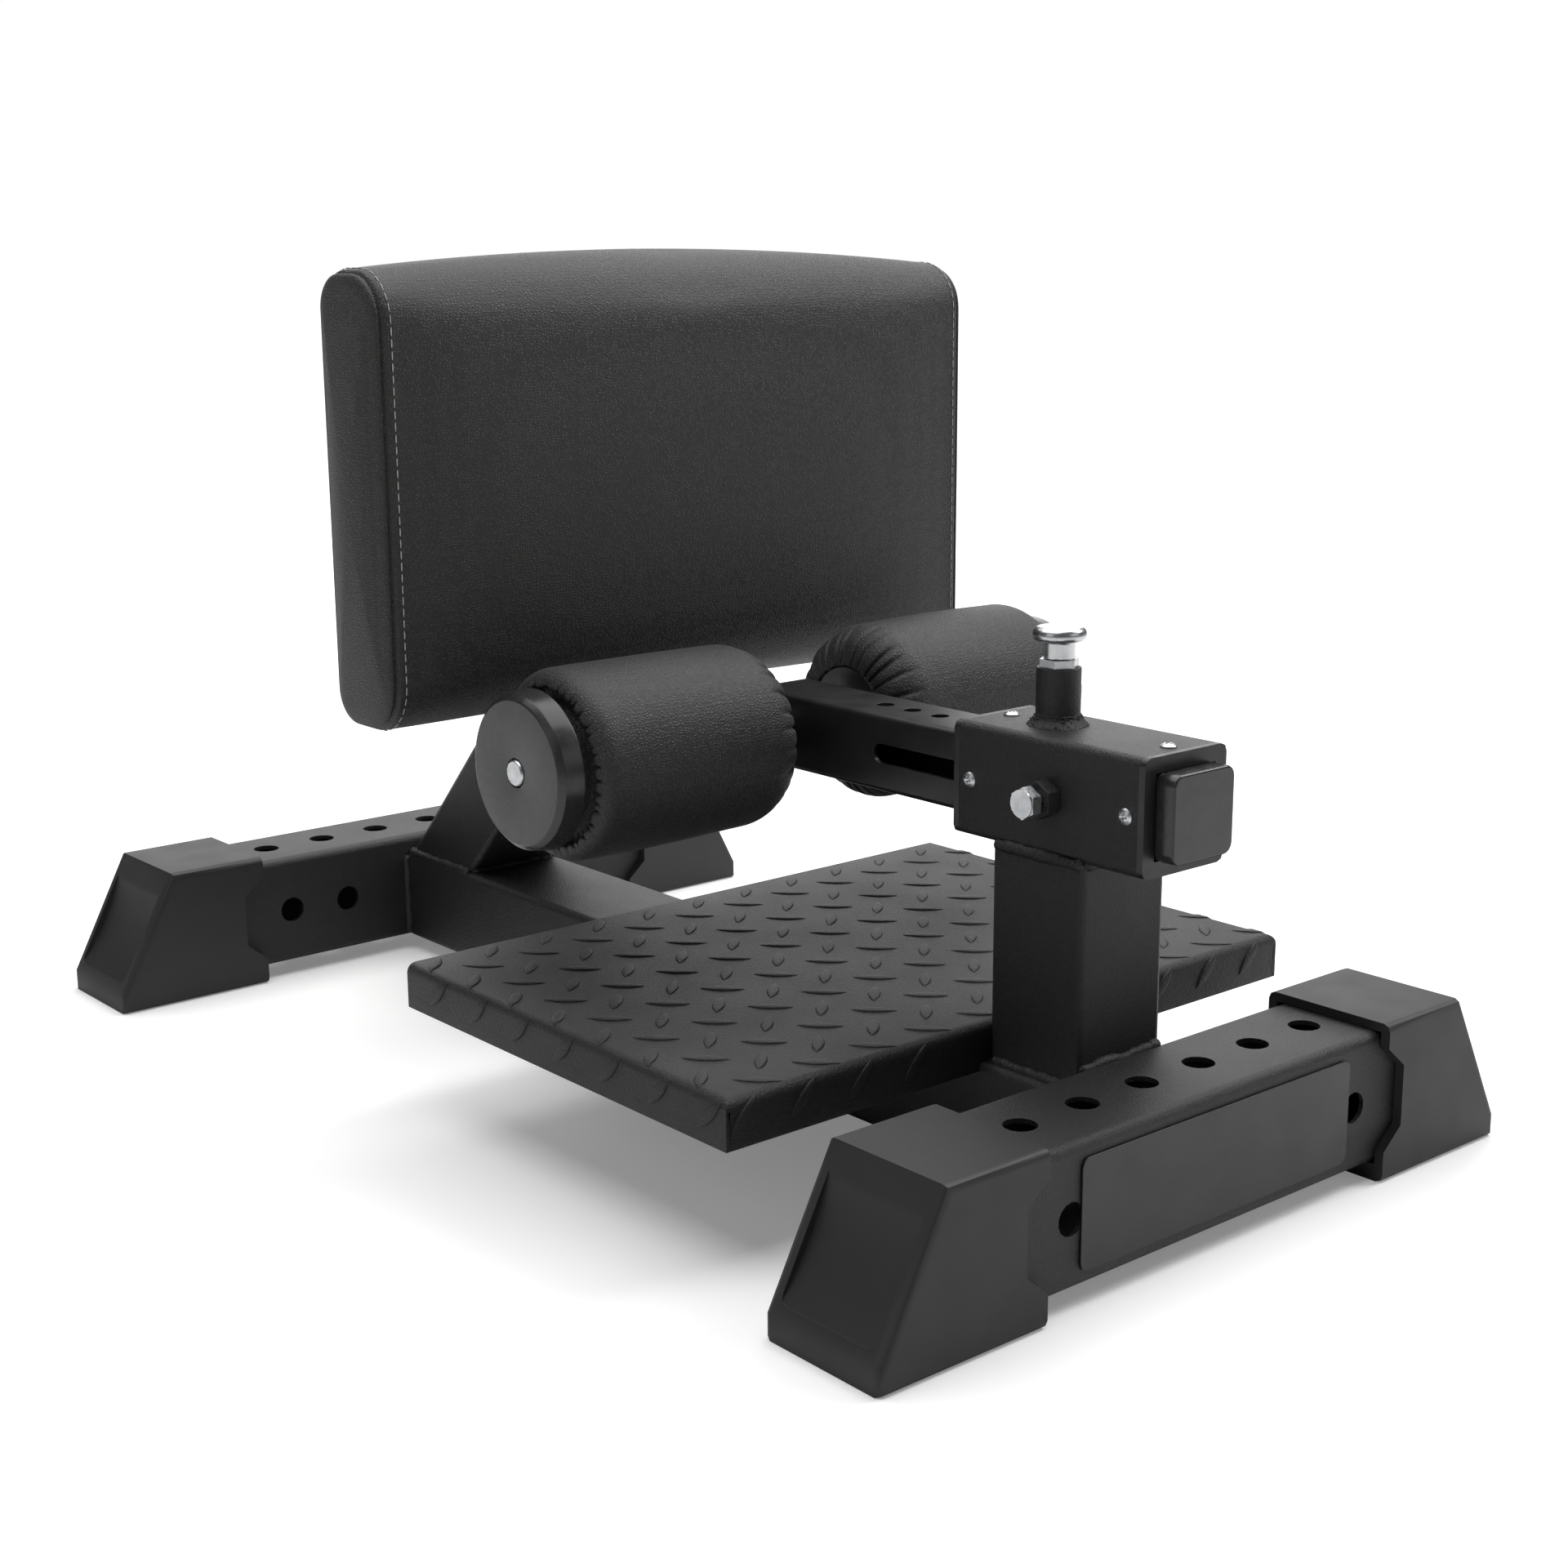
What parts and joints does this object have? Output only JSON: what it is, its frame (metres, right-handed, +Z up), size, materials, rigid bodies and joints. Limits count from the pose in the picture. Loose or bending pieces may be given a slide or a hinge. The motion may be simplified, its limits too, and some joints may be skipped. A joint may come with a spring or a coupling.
{
  "type": "sissy squat bench",
  "caption": "H-base sissy squat bench with a treadplate, a calf pad on a leaning tube, and shin rollers on an arm that slides in a post-mounted sleeve and locks with a pull pin.",
  "frame": {"origin": "on the floor, halfway between the front and rear base tubes, on the main rail's centre line", "axes": "+Z up, -Y towards the front with the guide sleeve, +X to the right of someone facing the rear from the front"},
  "size_m": [0.596, 0.9056, 0.567],
  "materials": {
    "powder_coat": "fine textured black powder coat",
    "satin_black": "satin black",
    "checker_steel": "black powder coat on checker plate",
    "boot_rubber": "matt moulded",
    "leather": "pebbled synthetic leather",
    "grey_plastic": "fine moulded grain",
    "black_plastic": "plain",
    "zinc_steel": "bright zinc",
    "chrome": "polished",
    "plywood": "bare"
  },
  "bodies": {
    "base": {"main_rail": "powder_coat", "front_base_tube": "powder_coat", "rear_base_tube": "powder_coat", "front_left_boot": "boot_rubber", "front_right_boot": "boot_rubber", "rear_left_boot": "boot_rubber", "rear_right_boot": "boot_rubber", "name_plate": "satin_black", "front_post": "powder_coat", "tread_plate": "checker_steel", "tread_cross_bar_front": "powder_coat", "tread_cross_bar_rear": "powder_coat", "guide_sleeve": "powder_coat", "front_sleeve_liner": "black_plastic", "rear_sleeve_liner": "black_plastic", "liner_screw_left_front": "zinc_steel", "liner_screw_left_rear": "zinc_steel", "liner_screw_right_front": "zinc_steel", "liner_screw_right_rear": "zinc_steel", "liner_screw_top_front": "zinc_steel", "liner_screw_top_rear": "zinc_steel", "stop_bolt_nut": "powder_coat", "stop_bolt": "zinc_steel", "pin_housing": "powder_coat", "pin_barrel": "zinc_steel", "pin_spring": "zinc_steel", "support_tube": "powder_coat", "pad_mount_plate": "powder_coat", "pad_board": "plywood", "calf_pad": "leather", "pad_bolt_left_lower": "zinc_steel", "pad_bolt_left_upper": "zinc_steel", "pad_bolt_right_lower": "zinc_steel", "pad_bolt_right_upper": "zinc_steel"},
    "pull_pin": {"pin_plunger": "zinc_steel", "pull_knob": "chrome"},
    "arm": {"roller_arm": "satin_black", "arm_front_plug": "grey_plastic", "arm_rear_plug": "black_plastic", "roller_axle": "zinc_steel", "axle_spacer_left": "zinc_steel", "axle_spacer_right": "zinc_steel", "axle_screw_left": "zinc_steel", "axle_screw_right": "zinc_steel"},
    "left_roller": {"roller_core_left": "black_plastic", "roller_cover_left": "leather", "roller_disc_left": "black_plastic", "roller_cap_left": "grey_plastic"},
    "right_roller": {"roller_core_right": "black_plastic", "roller_cover_right": "leather", "roller_disc_right": "black_plastic", "roller_cap_right": "grey_plastic"}
  },
  "joints": [
    {"name": "arm_slide", "type": "slide", "parent": "base", "child": "arm", "axis": [0, -1, 0], "range_m": [0, 0.15]},
    {"name": "pin_pull", "type": "slide", "parent": "base", "child": "pull_pin", "axis": [0, 0, 1], "range_m": [0, 0.014], "stiffness_N_per_m": 400, "springref_m": -0.01, "deforming": ["pin_spring"]},
    {"name": "left_roller_spin", "type": "hinge", "parent": "arm", "child": "left_roller", "pos_m": [-0.13475, -0.078, 0.253], "axis": [1, 0, 0], "continuous": true},
    {"name": "right_roller_spin", "type": "hinge", "parent": "arm", "child": "right_roller", "pos_m": [0.13475, -0.078, 0.253], "axis": [1, 0, 0], "continuous": true}
  ]
}
